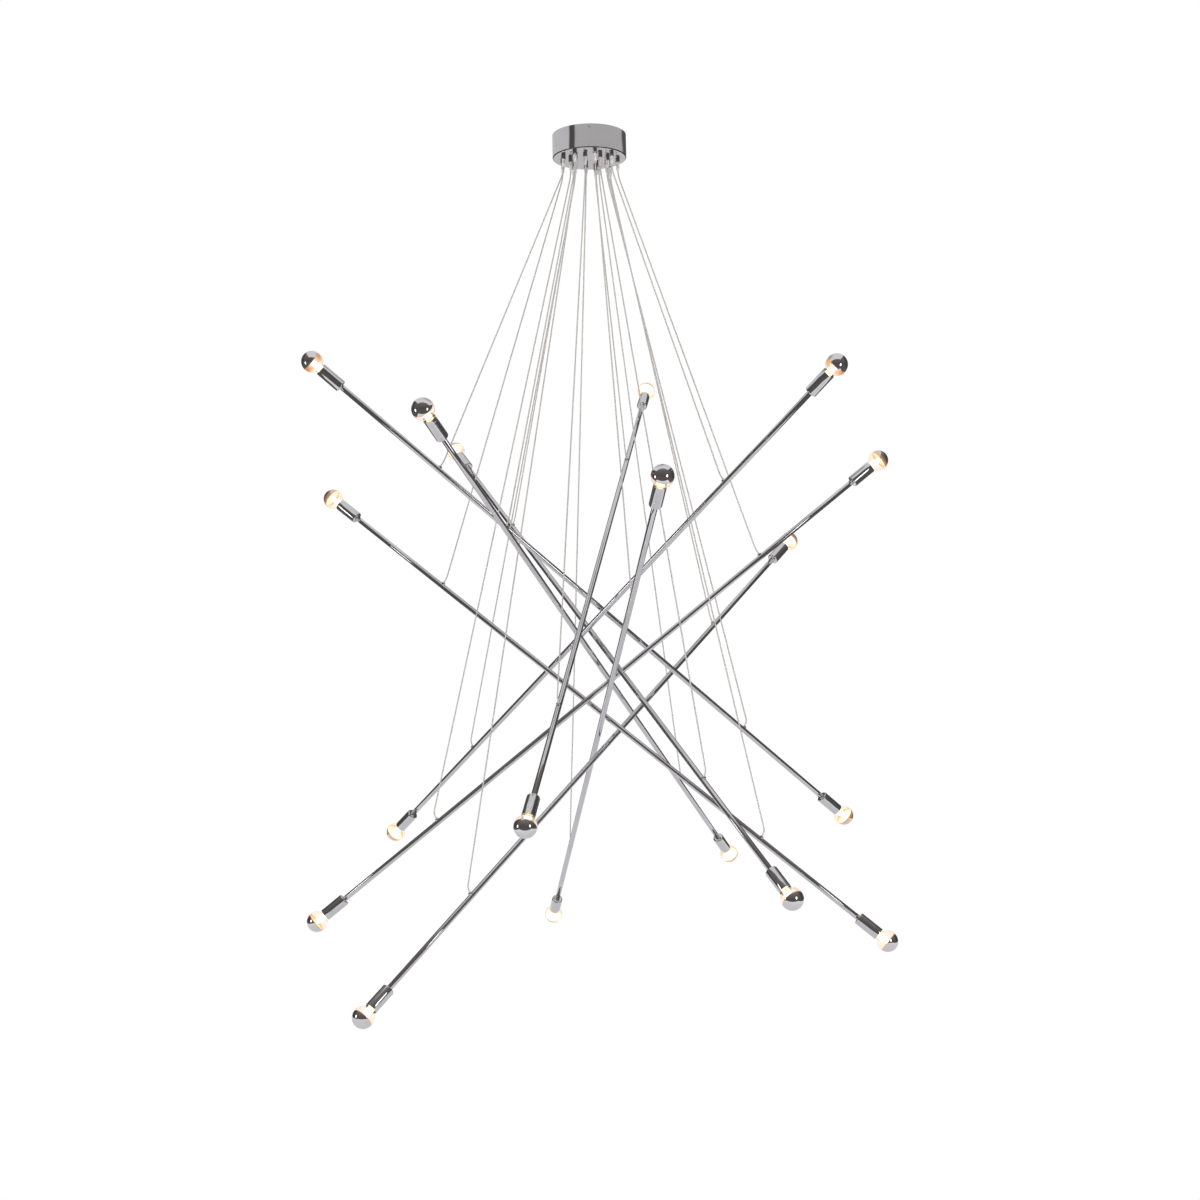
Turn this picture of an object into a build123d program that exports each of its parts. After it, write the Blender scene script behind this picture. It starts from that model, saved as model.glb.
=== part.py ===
"""A ceiling light of nine straight chrome tubes, hung one under another on thin cords from one drum canopy.

Each tube leans, crosses the others near its middle and carries a small round lamp in a chrome cup at both ends.
Millimetres. +Z is up and z = 0 is the ceiling. The origin is the middle of the bracket's top face.
"""

from build123d import *
from collections import namedtuple
import math
import os

# The nine tubes from the top down. azimuth: the compass direction, in degrees from +X towards +Y, in which the
# tube rises. drop: how far its middle hangs under the ceiling. x, y: where its middle hangs. tilt: its rise.
Hang = namedtuple("Hang", "azimuth drop x y tilt")
HANGS = [
    Hang(azimuth=77.5, drop=976, x=0, y=0, tilt=38.4),
    Hang(azimuth=203.5, drop=1050, x=0, y=-8, tilt=38.5),
    Hang(azimuth=321, drop=1094, x=-12, y=-4, tilt=38.0),
    Hang(azimuth=124.5, drop=1135, x=5, y=3, tilt=38.2),
    Hang(azimuth=239.5, drop=1186, x=4, y=6, tilt=37.5),
    Hang(azimuth=4, drop=1237, x=7, y=-10, tilt=38.4),
    Hang(azimuth=163, drop=1283, x=-5, y=5, tilt=37.9),
    Hang(azimuth=281.5, drop=1337, x=0, y=3, tilt=38.3),
    Hang(azimuth=42, drop=1378, x=5, y=6, tilt=37.5),
]

# Canopy cup
CANOPY_R = 82.5
CANOPY_HEIGHT = 52.0
CANOPY_WALL = 1.2
CANOPY_EDGE = 2.0  # outer rounding of the lower edge
RING_OUTER = 63.0  # glands of the upper cords, from the canopy's middle
RING_INNER = 42.0  # glands of the lower cords

# Bracket, its side screws and the terminal block
STRAP_WIDTH = 25.0
STRAP_THICK = 2.0
STRAP_TAB = 14.0  # how far the ends turn down
STRAP_BEND = 2.0  # inner radius of the turned ends
TAB_GAP = 0.8  # between the tab's corners and the cup
SLOT_SPACING = 70.0
SLOT_LENGTH = 14.0
SLOT_WIDTH = 5.5
CABLE_HOLE_R = 6.0
SCREW_R = 2.0
SCREW_LENGTH = 8.0
SCREW_HEAD_R = 3.6
SCREW_HEAD_HIGH = 2.2
SCREW_DEPTH = 7.0  # below the canopy's top edge
BLOCK_LENGTH = 30.0
BLOCK_WIDTH = 16.0
BLOCK_HIGH = 15.0
BLOCK_Y = 17.5
BLOCK_WAYS = 3
BLOCK_PITCH = 9.0
WIRE_PORT_R = 1.8
PEG_R = 2.0

# Cord glands and their clear grips
HEX_ACROSS = 8.5
HEX_HIGH = 8.0
STUD_R = 3.0
STUD_ABOVE_NUT = 1.0
NUT_HIGH = 3.0
SPIGOT_LENGTH = 4.0
GRIP_LENGTH = 17.0
GRIP_TOP_R = 4.2
GRIP_MOUTH_R = 3.4
GRIP_LAND = 4.0  # the narrow stretch at the mouth that holds the cord
CORD_ROOM = 0.7  # round the cord inside a gland

# Cords
CORD_R = 1.5
CORD_IN_GRIP = 10.0  # how far up the grip a cord is held
CORD_BEND_BELOW = 11.0  # from the grip's mouth to the cord's first bend
CORD_BEND_ABOVE = 19.0  # from the tube's middle line to the cord's last bend
CORD_ARC_SHARE = 0.45  # the share of the shorter run that an arc takes up

# Tubes, with an entry ferrule for each cord
TUBE_R = 6.0
TUBE_WALL = 1.0
LAMP_REACH = 811.0  # from a tube's middle to the centre of a lamp's globe
CORD_ENTRY = 345.0  # from the globe's centre in to the cord
FERRULE_R = 4.6
FERRULE_TOP_R = 2.4
FERRULE_HIGH = 3.2
ENTRY_ROOM = 0.7  # round the cord in the tube's wall

# Lamps: a globe with a small screw cap. Their lengths are measured from the globe's centre along the tube.
GLOBE_R = 22.5
GLASS_WALL = 0.9
NECK_R = 9.0
NECK_CURVE = 6.0  # hollow curve between the globe and the neck
NECK_STRAIGHT = 1.3
CAP_FLARE = 3.0
CAP_R = 7.0
CAP_LENGTH = 18.0
CAP_TAPER = 2.5
CONTACT_R = 3.2
CONTACT_HIGH = 3.5
CONTACT_EDGE = 1.2

# Cups and the lampholders inside them
CUP_GAP = 0.5  # from the globe's end to the cup's mouth
CUP_R = 13.25
CUP_WALL = 1.0
CUP_TAIL_WALL = 1.2
CUP_EDGE = 3.0  # outer rounding of the cup's tail
HOLDER_GAP = 0.5  # from the lamp's cap flare to the holder
HOLDER_FLOOR = 8.0
HOLDER_NECK_R = 8.0
HOLDER_NECK = 14.8
HOLDER_PIN_R = 2.0
WIRE_HOLE_R = 1.3
WIRE_HOLE_AT = 4.0
NIPPLE_WALL = 1.0
NIPPLE_IN_HOLDER = 10.0
NIPPLE_IN_TUBE = 18.0

# Clearances between pieces, on the radius or in line
SLIP = 0.05  # a screwed or pushed fit
CAP_FIT = 0.1  # the lamp's cap in its holder
PIN_FIT = 0.1  # the lamp's contact from the holder's pin
PIN_TRAVEL = 1.5  # from the contact to the holder's inner end
CORD_FIT = 0.1  # the cord in the mouth of its grip
HOLDER_FIT = 0.25  # the holder in its cup
HOLE_FIT = 0.1  # a stud, screw or nipple in a drilled hole

# Worked out from the sizes above
CANOPY_FLOOR = -CANOPY_HEIGHT
GRIP_TOP = CANOPY_FLOOR - HEX_HIGH
GRIP_MOUTH = GRIP_TOP - GRIP_LENGTH
GLAND_BORE_R = CORD_R + CORD_ROOM
NIPPLE_R = TUBE_R - TUBE_WALL - SLIP
CAP_START = math.sqrt((GLOBE_R + NECK_CURVE) ** 2 - (NECK_R + NECK_CURVE) ** 2) + NECK_STRAIGHT
CAP_SHELL = CAP_START + CAP_FLARE
CAP_END = CAP_SHELL + CAP_LENGTH
LAMP_END = CAP_END + CAP_TAPER + CONTACT_HIGH
HOLDER_FACE = CAP_SHELL + HOLDER_GAP
HOLDER_BORE_END = LAMP_END + PIN_TRAVEL
HOLDER_BACK = HOLDER_BORE_END + HOLDER_FLOOR
CUP_MOUTH = GLOBE_R + CUP_GAP
CUP_INSIDE = HOLDER_BACK + HOLDER_NECK
CUP_END = CUP_INSIDE + CUP_TAIL_WALL
TUBE_HALF = LAMP_REACH - CUP_END


def turned(*edges):
    """The solid of revolution about Z of a closed outline of edges, drawn as (radius, height)."""
    return revolve(Plane.XZ * make_face(Curve() + list(edges)), Axis.Z)


def pipe(outer, inner, low, high):
    """A straight sleeve about Z."""
    return turned(Polyline((inner, low), (outer, low), (outer, high), (inner, high), close=True))


def rod(radius, low, high):
    """A straight round bar about Z."""
    return Pos(0, 0, low) * extrude(Circle(radius), high - low)


def save(name, *solids):
    """Writes one sub-part, which may be a group of separate solids."""
    export_step(Compound(children=list(solids)), f"parts/{name}.step")


# Where things hang

def along(hang):
    """The tube's own directions: level along its azimuth, and along the tube itself towards its upper end."""
    level = Vector(1, 0, 0).rotate(Axis.Z, hang.azimuth)
    lean = math.radians(hang.tilt)
    return level, level * math.cos(lean) + Vector(0, 0, math.sin(lean))


def middle(hang):
    return Vector(hang.x, hang.y, -hang.drop)


def tube_place(hang):
    """Z along the tube towards its upper end, X square to it and up."""
    level, up_tube = along(hang)
    lean = math.radians(hang.tilt)
    return Plane(middle(hang), x_dir=Vector(0, 0, math.cos(lean)) - level * math.sin(lean), z_dir=up_tube)


def end_place(hang, side):
    """Z from the globe's centre in towards the tube's middle. side is 1 for the upper end, -1 for the lower."""
    across = along(hang)[0].cross(Vector(0, 0, 1))
    up_tube = along(hang)[1]
    return Plane(middle(hang) + up_tube * (side * LAMP_REACH), x_dir=across, z_dir=up_tube * -side)


def gland_place(hang, side):
    """A gland's axis, in line with its tube: on the outer ring for the upper cord, the inner for the lower."""
    ring = RING_OUTER if side > 0 else RING_INNER
    return Pos(along(hang)[0] * (side * ring))


def cord_route(hang, side):
    """Straight down out of the grip, tight to a point over the ferrule, then square into the tube."""
    gland = gland_place(hang, side).position
    entry = middle(hang) + along(hang)[1] * (side * (LAMP_REACH - CORD_ENTRY))
    square = tube_place(hang).x_dir
    return [
        gland + Vector(0, 0, GRIP_MOUTH + CORD_IN_GRIP),
        gland + Vector(0, 0, GRIP_MOUTH - CORD_BEND_BELOW),
        entry + square * CORD_BEND_ABOVE,
        entry,
    ]


# Pieces of one tube

def tube(entry_at):
    """The long tube, drilled on its upper side for the two cords."""
    body = pipe(TUBE_R, TUBE_R - TUBE_WALL, -TUBE_HALF, TUBE_HALF)
    for place in (entry_at, -entry_at):
        body -= Pos(0, 0, place) * Rot(0, 90, 0) * rod(CORD_R + ENTRY_ROOM, 0, TUBE_R + TUBE_WALL)
    return body


def ferrule(place):
    """A low domed collar that sits on the tube's upper side like a saddle and guides the cord in."""
    bore = CORD_R + SLIP
    top = TUBE_R + FERRULE_HIGH
    shoulder = TUBE_R + FERRULE_HIGH / 4
    start = TUBE_R / 2
    collar = turned(
        Polyline((FERRULE_TOP_R, top), (bore, top), (bore, start), (FERRULE_R, start), (FERRULE_R, shoulder)),
        RadiusArc((FERRULE_R, shoulder), (FERRULE_TOP_R, top), -FERRULE_HIGH),
    )
    return Pos(0, 0, place) * Rot(0, 90, 0) * collar - rod(TUBE_R, place - 2 * FERRULE_R, place + 2 * FERRULE_R)


def nipple(side):
    """The hollow threaded stub that clamps a cup between the lampholder and the tube."""
    low, high = TUBE_HALF - NIPPLE_IN_TUBE, TUBE_HALF + CUP_TAIL_WALL + NIPPLE_IN_HOLDER
    body = pipe(NIPPLE_R, NIPPLE_R - NIPPLE_WALL, low, high)
    return body if side > 0 else body.mirror(Plane.XY)


def cup():
    """The chrome cup round the lampholder: open at the lamp, with a rounded tail drilled for the nipple."""
    hole = NIPPLE_R + HOLE_FIT
    inner = CUP_R - CUP_WALL
    return turned(
        FilletPolyline(
            (inner, CUP_MOUTH), (CUP_R, CUP_MOUTH), (CUP_R, CUP_END), (hole, CUP_END), radius=[0, CUP_EDGE]
        ),
        FilletPolyline(
            (hole, CUP_END), (hole, CUP_INSIDE), (inner, CUP_INSIDE), (inner, CUP_MOUTH),
            radius=[0, max(CUP_EDGE - CUP_WALL, CUP_WALL / 2)],
        ),
    )


def lampholder():
    """The screw socket, with its centre pin, two wire ways and a rear neck that takes the nipple."""
    outer = CUP_R - CUP_WALL - HOLDER_FIT
    bore = CAP_R + CAP_FIT
    neck_bore = NIPPLE_R + SLIP
    neck_bore_end = CUP_INSIDE - NIPPLE_IN_HOLDER - HOLDER_GAP
    body = pipe(outer, bore, HOLDER_FACE, HOLDER_BORE_END) + rod(outer, HOLDER_BORE_END, HOLDER_BACK)
    body += rod(HOLDER_NECK_R, HOLDER_BACK, CUP_INSIDE)
    body += rod(HOLDER_PIN_R, LAMP_END + PIN_FIT, HOLDER_BORE_END)
    body -= rod(neck_bore, neck_bore_end, CUP_INSIDE)
    for way in (WIRE_HOLE_AT, -WIRE_HOLE_AT):
        body -= Pos(way, 0, 0) * rod(WIRE_HOLE_R, HOLDER_BORE_END, neck_bore_end)
    return body


def glass():
    """The blown envelope: a globe that runs through a hollow curve into a straight neck, open at the cap."""
    curve_z = CAP_START - NECK_STRAIGHT
    share = GLOBE_R / (GLOBE_R + NECK_CURVE)
    inset_r, inset_z = share * (NECK_R + NECK_CURVE), share * curve_z

    def skin(wall):
        """One side of the glass, from the crown to the neck's end, wall deep inside the outer surface."""
        globe = GLOBE_R - wall
        hollow = NECK_CURVE + wall
        join = (inset_r * globe / GLOBE_R, inset_z * globe / GLOBE_R)
        halfway = math.atan2(-curve_z + join[1], join[0] - NECK_R - NECK_CURVE) / 2 - math.pi / 2
        bottom = (NECK_R + NECK_CURVE + hollow * math.cos(halfway), curve_z + hollow * math.sin(halfway))
        return (
            ThreePointArc((0, -globe), (globe, 0), join)
            + ThreePointArc(join, bottom, (NECK_R - wall, curve_z))
            + Line((NECK_R - wall, curve_z), (NECK_R - wall, CAP_START))
        )

    return turned(
        *skin(0).edges(),
        Line((NECK_R, CAP_START), (NECK_R - GLASS_WALL, CAP_START)),
        *skin(GLASS_WALL).edges(),
        Line((0, -GLOBE_R), (0, GLASS_WALL - GLOBE_R)),
    )


def cap():
    """The lamp's metal cap: a flare round the glass neck, the screw shell, a tapered seal and the contact."""
    seal_end = CAP_END + CAP_TAPER
    return turned(
        FilletPolyline(
            (0, CAP_START),
            (NECK_R, CAP_START),
            (CAP_R, CAP_SHELL),
            (CAP_R, CAP_END),
            (CONTACT_R, seal_end),
            (CONTACT_R, LAMP_END),
            (0, LAMP_END),
            radius=[0, 0, 0, 0, CONTACT_EDGE],
        ),
        Line((0, LAMP_END), (0, CAP_START)),
    )


def cord(hang, side):
    """A round cord on straight runs joined by arcs as large as the runs allow."""
    route = cord_route(hang, side)
    runs = [b - a for a, b in zip(route, route[1:])]
    radii = []
    for before, after in zip(runs, runs[1:]):
        half_turn = math.radians(before.get_angle(after)) / 2
        radii.append(CORD_ARC_SHARE * min(before.length, after.length) / math.tan(half_turn))
    path = FilletPolyline(*route, radius=radii)
    body = sweep(Plane(path @ 0, z_dir=path % 0) * Circle(CORD_R), path)
    filled = body.volume / (math.pi * CORD_R**2 * path.length)
    print("cord length", round(path.length), "arc radii", [round(r, 1) for r in radii], "filled", round(filled, 5))
    return body


# Pieces of the canopy

def canopy_cup():
    """The drum: open against the ceiling, drilled in its floor for the glands and in its side for the screws."""
    inner = CANOPY_R - CANOPY_WALL
    inside = CANOPY_FLOOR + CANOPY_WALL
    body = turned(
        FilletPolyline((0, CANOPY_FLOOR), (CANOPY_R, CANOPY_FLOOR), (CANOPY_R, 0), radius=[CANOPY_EDGE]),
        Line((CANOPY_R, 0), (inner, 0)),
        FilletPolyline(
            (inner, 0), (inner, inside), (0, inside), radius=[max(CANOPY_EDGE - CANOPY_WALL, CANOPY_WALL / 2)]
        ),
        Line((0, inside), (0, CANOPY_FLOOR)),
    )
    for hang in HANGS:
        for side in (1, -1):
            body -= gland_place(hang, side) * rod(STUD_R + HOLE_FIT, CANOPY_FLOOR, inside)
    return body - Pos(0, 0, -SCREW_DEPTH) * Rot(90, 0, 0) * rod(SCREW_R + HOLE_FIT, -CANOPY_R, CANOPY_R)


def tab_face():
    """How far from the middle the outer faces of the bracket's turned ends stand."""
    return math.sqrt((CANOPY_R - CANOPY_WALL - TAB_GAP) ** 2 - (STRAP_WIDTH / 2) ** 2)


def ceiling_bracket():
    """A strap across the canopy with both ends turned down, slotted for the ceiling screws."""
    reach = tab_face()
    centre_line = FilletPolyline(
        (0, -reach + STRAP_THICK / 2, -STRAP_TAB),
        (0, -reach + STRAP_THICK / 2, -STRAP_THICK / 2),
        (0, reach - STRAP_THICK / 2, -STRAP_THICK / 2),
        (0, reach - STRAP_THICK / 2, -STRAP_TAB),
        radius=STRAP_BEND + STRAP_THICK / 2,
    )
    section = Plane(centre_line @ 0, x_dir=(1, 0, 0), z_dir=(0, 0, 1)) * Rectangle(STRAP_WIDTH, STRAP_THICK)
    body = sweep(section, centre_line)
    through = -2 * STRAP_THICK
    for place in (SLOT_SPACING / 2, -SLOT_SPACING / 2):
        body -= Pos(0, place, 0) * extrude(Rot(0, 0, 90) * SlotOverall(SLOT_LENGTH, SLOT_WIDTH), through)
    body -= extrude(Circle(CABLE_HOLE_R), through)
    body -= Pos(0, BLOCK_Y, 0) * extrude(Circle(PEG_R + HOLE_FIT), through)
    return body - Pos(0, 0, -SCREW_DEPTH) * Rot(90, 0, 0) * rod(SCREW_R + SLIP, -CANOPY_R, CANOPY_R)


def canopy_screw(side):
    """A dome-headed screw through the cup's side into a turned end of the bracket."""
    shank = rod(SCREW_R, -SCREW_LENGTH, 0)
    head_curve = RadiusArc((SCREW_HEAD_R, 0), (0, SCREW_HEAD_HIGH), -(SCREW_HEAD_R**2 / SCREW_HEAD_HIGH
                                                                     + SCREW_HEAD_HIGH) / 2)
    head = turned(head_curve, Line((0, SCREW_HEAD_HIGH), (0, 0)), Line((0, 0), (SCREW_HEAD_R, 0)))
    return Rot(0, 0, 90 * side) * Pos(CANOPY_R, 0, -SCREW_DEPTH) * Rot(0, 90, 0) * (shank + head)


def terminal_block():
    """The mains terminal block, pegged under the strap, with a wire way and a screw port for each pole."""
    top = -STRAP_THICK
    body = Pos(0, BLOCK_Y, top - BLOCK_HIGH / 2) * Box(BLOCK_LENGTH, BLOCK_WIDTH, BLOCK_HIGH)
    ways = [(way - (BLOCK_WAYS - 1) / 2) * BLOCK_PITCH for way in range(BLOCK_WAYS)]
    for way in ways:
        across = Pos(way, BLOCK_Y, top - BLOCK_HIGH / 2) * Rot(90, 0, 0)
        body -= across * rod(WIRE_PORT_R, -BLOCK_WIDTH, BLOCK_WIDTH)
        body -= Pos(way, BLOCK_Y, top) * rod(WIRE_PORT_R, -BLOCK_HIGH, -BLOCK_HIGH / 2)
    return body + Pos(0, BLOCK_Y, top) * rod(PEG_R, 0, STRAP_THICK)


def gland():
    """A hexagon collar under the canopy's floor, its stud up through the floor and a spigot for the grip."""
    body = Pos(0, 0, GRIP_TOP) * extrude(RegularPolygon(HEX_ACROSS / 2, 6, major_radius=False), HEX_HIGH)
    body += rod(STUD_R, GRIP_TOP - SPIGOT_LENGTH, CANOPY_FLOOR + CANOPY_WALL + NUT_HIGH + STUD_ABOVE_NUT)
    return body - rod(GLAND_BORE_R, GRIP_TOP - SPIGOT_LENGTH, 0)


def lock_nut():
    nut = extrude(RegularPolygon(HEX_ACROSS / 2, 6, major_radius=False) - Circle(STUD_R + SLIP), NUT_HIGH)
    return Pos(0, 0, CANOPY_FLOOR + CANOPY_WALL) * nut


def grip():
    """The clear plastic grip: a tapered sleeve over the spigot that narrows onto the cord at its mouth."""
    socket = STUD_R + SLIP
    socket_end = GRIP_TOP - SPIGOT_LENGTH
    land = CORD_R + CORD_FIT
    return turned(
        Polyline(
            (socket, GRIP_TOP),
            (GRIP_TOP_R, GRIP_TOP),
            (GRIP_MOUTH_R, GRIP_MOUTH),
            (land, GRIP_MOUTH),
            (land, GRIP_MOUTH + GRIP_LAND),
            (GLAND_BORE_R, GRIP_MOUTH + GRIP_LAND),
            (GLAND_BORE_R, socket_end),
            (socket, socket_end),
            close=True,
        )
    )


os.makedirs("parts", exist_ok=True)

save("canopy_cup", canopy_cup())
save("ceiling_bracket", ceiling_bracket())
save("canopy_screws", canopy_screw(1), canopy_screw(-1))
save("terminal_block", terminal_block())

gland_places = [gland_place(hang, side) for hang in HANGS for side in (1, -1)]
one_gland, one_nut, one_grip = gland(), lock_nut(), grip()
save("cord_glands", *(place * piece for place in gland_places for piece in (one_gland, one_nut)))
save("cord_grips", *(place * one_grip for place in gland_places))

entry_at = LAMP_REACH - CORD_ENTRY
one_tube = [tube(entry_at), ferrule(entry_at), ferrule(-entry_at), nipple(1), nipple(-1)]
one_cup, one_holder, one_lamp = cup(), lampholder(), [glass(), cap()]

for number, hang in enumerate(HANGS, 1):
    ends = {"high": end_place(hang, 1), "low": end_place(hang, -1)}
    save(f"rod_{number}", *(tube_place(hang) * piece for piece in one_tube))
    save(f"sleeves_{number}", *(place * one_cup for place in ends.values()))
    save(f"lampholders_{number}", *(place * one_holder for place in ends.values()))
    save(f"cords_{number}", cord(hang, 1), cord(hang, -1))
    for end, place in ends.items():
        save(f"bulb_{number}_{end}", *(place * piece for piece in one_lamp))
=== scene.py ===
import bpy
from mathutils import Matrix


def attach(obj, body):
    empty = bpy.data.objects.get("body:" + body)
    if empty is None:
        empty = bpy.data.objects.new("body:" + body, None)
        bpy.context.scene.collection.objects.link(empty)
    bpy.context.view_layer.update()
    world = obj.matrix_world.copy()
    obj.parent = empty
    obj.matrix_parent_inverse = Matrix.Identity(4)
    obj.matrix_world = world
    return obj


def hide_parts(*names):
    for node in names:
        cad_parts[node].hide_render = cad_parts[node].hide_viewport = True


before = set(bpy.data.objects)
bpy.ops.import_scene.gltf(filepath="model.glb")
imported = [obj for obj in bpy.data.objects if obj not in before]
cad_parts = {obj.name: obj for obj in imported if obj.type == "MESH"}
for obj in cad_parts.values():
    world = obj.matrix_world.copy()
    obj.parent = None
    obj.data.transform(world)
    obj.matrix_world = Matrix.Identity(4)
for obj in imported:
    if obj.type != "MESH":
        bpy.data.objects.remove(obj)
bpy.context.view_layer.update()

import math

import bmesh
import bpy
from mathutils import Matrix, Vector

# The nine tubes from the top down: the compass direction in which each rises, how far its middle
# hangs under the ceiling, where it hangs, and its rise. Degrees and metres.
hangs = [
    {"azimuth": 77.5, "drop": 0.976, "x": 0.0, "y": 0.0, "tilt": 38.4},
    {"azimuth": 203.5, "drop": 1.050, "x": 0.0, "y": -0.008, "tilt": 38.5},
    {"azimuth": 321.0, "drop": 1.094, "x": -0.012, "y": -0.004, "tilt": 38.0},
    {"azimuth": 124.5, "drop": 1.135, "x": 0.005, "y": 0.003, "tilt": 38.2},
    {"azimuth": 239.5, "drop": 1.186, "x": 0.004, "y": 0.006, "tilt": 37.5},
    {"azimuth": 4.0, "drop": 1.237, "x": 0.007, "y": -0.010, "tilt": 38.4},
    {"azimuth": 163.0, "drop": 1.283, "x": -0.005, "y": 0.005, "tilt": 37.9},
    {"azimuth": 281.5, "drop": 1.337, "x": 0.0, "y": 0.003, "tilt": 38.3},
    {"azimuth": 42.0, "drop": 1.378, "x": 0.005, "y": 0.006, "tilt": 37.5},
]
lampReach = 0.811  # from a tube's middle to the centre of a lamp's globe


def levelOf(hang):
    turn = math.radians(hang["azimuth"])
    return Vector((math.cos(turn), math.sin(turn), 0))


def tubeLine(hang):
    lean = math.radians(hang["tilt"])
    return levelOf(hang) * math.cos(lean) + Vector((0, 0, math.sin(lean)))


def squareUp(hang):  # square to the tube and up
    lean = math.radians(hang["tilt"])
    return Vector((0, 0, math.cos(lean))) - levelOf(hang) * math.sin(lean)


def middleOf(hang):
    return Vector((hang["x"], hang["y"], -hang["drop"]))


def placed(origin, xAxis, zAxis):
    turn = Matrix((xAxis, zAxis.cross(xAxis), zAxis)).transposed().to_4x4()
    return Matrix.Translation(origin) @ turn


def tubePlace(hang):  # Z along the tube to its upper end, X square to it and up
    return placed(middleOf(hang), squareUp(hang), tubeLine(hang))


def endPlace(hang, side):  # Z from the globe's centre in towards the tube's middle
    centre = middleOf(hang) + tubeLine(hang) * side * lampReach
    return placed(centre, levelOf(hang).cross(Vector((0, 0, 1))), tubeLine(hang) * -side)


def added(name, data):  # a new object in the scene
    thing = bpy.data.objects.new(name, data)
    bpy.context.scene.collection.objects.link(thing)
    return thing


view = {
    "place": (0.0056, -3.603, -1.170),
    "roll": 0.92,  # degrees, as the photograph leans
    "lens": 48.3,
    "sensor": 36,
    "shiftUp": 0.0485,
    "farthest": 60,
}

camera = added("camera", bpy.data.cameras.new("camera"))
camera.location = view["place"]
camera.rotation_euler = (math.radians(90), math.radians(view["roll"]), 0)
camera.data.lens = view["lens"]
camera.data.sensor_width = view["sensor"]
camera.data.shift_y = view["shiftUp"]
camera.data.clip_end = view["farthest"]
bpy.context.scene.camera = camera
print("stage: camera")


def addNode(tree, kind, inputs=None, **settings):
    node = tree.nodes.new(kind)
    for name, value in settings.items():
        setattr(node, name, value)
    for name, value in (inputs or {}).items():
        if isinstance(value, bpy.types.NodeSocket):
            tree.links.new(value, node.inputs[name])
        else:
            node.inputs[name].default_value = value
    return node


def calc(tree, operation, first, second=0.0):
    return addNode(tree, "ShaderNodeMath", {0: first, 1: second}, operation=operation).outputs[0]


def step(tree, value, low, high, start=0.0, end=1.0):  # a smooth change from start to end
    inputs = {"Value": value, "From Min": low, "From Max": high, "To Min": start, "To Max": end}
    return addNode(tree, "ShaderNodeMapRange", inputs, interpolation_type="SMOOTHSTEP").outputs[0]


def between(tree, share, low, high):  # low at a share of 0, high at 1
    span = calc(tree, "SUBTRACT", high, low)
    return calc(tree, "ADD", low, calc(tree, "MULTIPLY", span, share))


def mixed(tree, share, first, second):
    return addNode(tree, "ShaderNodeMix", {0: share, 6: first, 7: second}, data_type="RGBA").outputs[2]


def ramp(tree, value, stops):
    node = addNode(tree, "ShaderNodeValToRGB", {"Fac": value})
    elements = node.color_ramp.elements
    elements.remove(elements[-1])
    elements[0].position = stops[0][0]
    for place, colour in stops[1:]:
        elements.new(place)
    for element, (place, colour) in zip(elements, stops):
        element.color = (*colour, 1)
    return node.outputs["Color"]


def noise(tree, place, scale, detail, roughness=0.5):
    inputs = {"Vector": place, "Scale": scale, "Detail": detail, "Roughness": roughness}
    return addNode(tree, "ShaderNodeTexNoise", inputs).outputs[0]


def times(tree, vector, factors):
    return addNode(tree, "ShaderNodeVectorMath", {0: vector, 1: factors}, operation="MULTIPLY").outputs[0]


def lengthOf(tree, vector):
    return addNode(tree, "ShaderNodeVectorMath", {0: vector}, operation="LENGTH").outputs["Value"]


def axisOf(tree, vector, axis):
    return addNode(tree, "ShaderNodeSeparateXYZ", {0: vector}).outputs[axis]


def attribute(tree, name, output="Fac"):
    return addNode(tree, "ShaderNodeAttribute", attribute_name=name).outputs[output]


def ownPlace(tree):  # a point's place on its piece before the piece was put in the light
    return attribute(tree, "ownPlace", "Vector")


def objectPlace(tree):
    return addNode(tree, "ShaderNodeTexCoord").outputs["Object"]


def grey(value, warmth=0.0):
    return (value * (1 + warmth), value, value * (1 - warmth), 1)


def newGroup(name, inputs, outputs):
    tree = bpy.data.node_groups.new(name, "ShaderNodeTree")
    kinds = {"v": "NodeSocketVector", "f": "NodeSocketFloat", "c": "NodeSocketColor"}
    for direction, sockets in (("INPUT", inputs), ("OUTPUT", outputs)):
        for label, kind in sockets.items():
            tree.interface.new_socket(name=label, in_out=direction, socket_type=kinds[kind])
    return tree, tree.nodes.new("NodeGroupInput").outputs, tree.nodes.new("NodeGroupOutput").inputs


polish = {
    "alongZ": 0.03,  # how often the lines change along Z, against 1 across it
    "lineDetail": 2.0,
    "cloudDetail": 4.0,
    "cloudRoughness": 0.6,
    "cloudFrom": 0.42,
    "cloudFull": 0.68,
}


def polishGroup():  # lengthwise polishing lines, and faint clouding from handling
    tree, given, made = newGroup(
        "polishMarks",
        {"Place": "v", "Line Scale": "f", "Cloud Scale": "f", "Smoothest": "f", "Roughest": "f",
         "Bright": "c", "Dull": "c"},
        {"Colour": "c", "Roughness": "f", "Height": "f"})
    stretched = times(tree, given["Place"], (1, 1, polish["alongZ"]))
    lines = noise(tree, stretched, given["Line Scale"], polish["lineDetail"])
    cloud = noise(tree, given["Place"], given["Cloud Scale"], polish["cloudDetail"],
                  polish["cloudRoughness"])
    clouding = step(tree, cloud, polish["cloudFrom"], polish["cloudFull"])
    tree.links.new(between(tree, clouding, given["Smoothest"], given["Roughest"]), made["Roughness"])
    tree.links.new(mixed(tree, clouding, given["Bright"], given["Dull"]), made["Colour"])
    tree.links.new(lines, made["Height"])
    return tree


mould = {
    "grainDetail": 3.0,
    "patchDetail": 2.0,
    "patchFrom": 0.38,
    "patchFull": 0.62,
}


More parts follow.
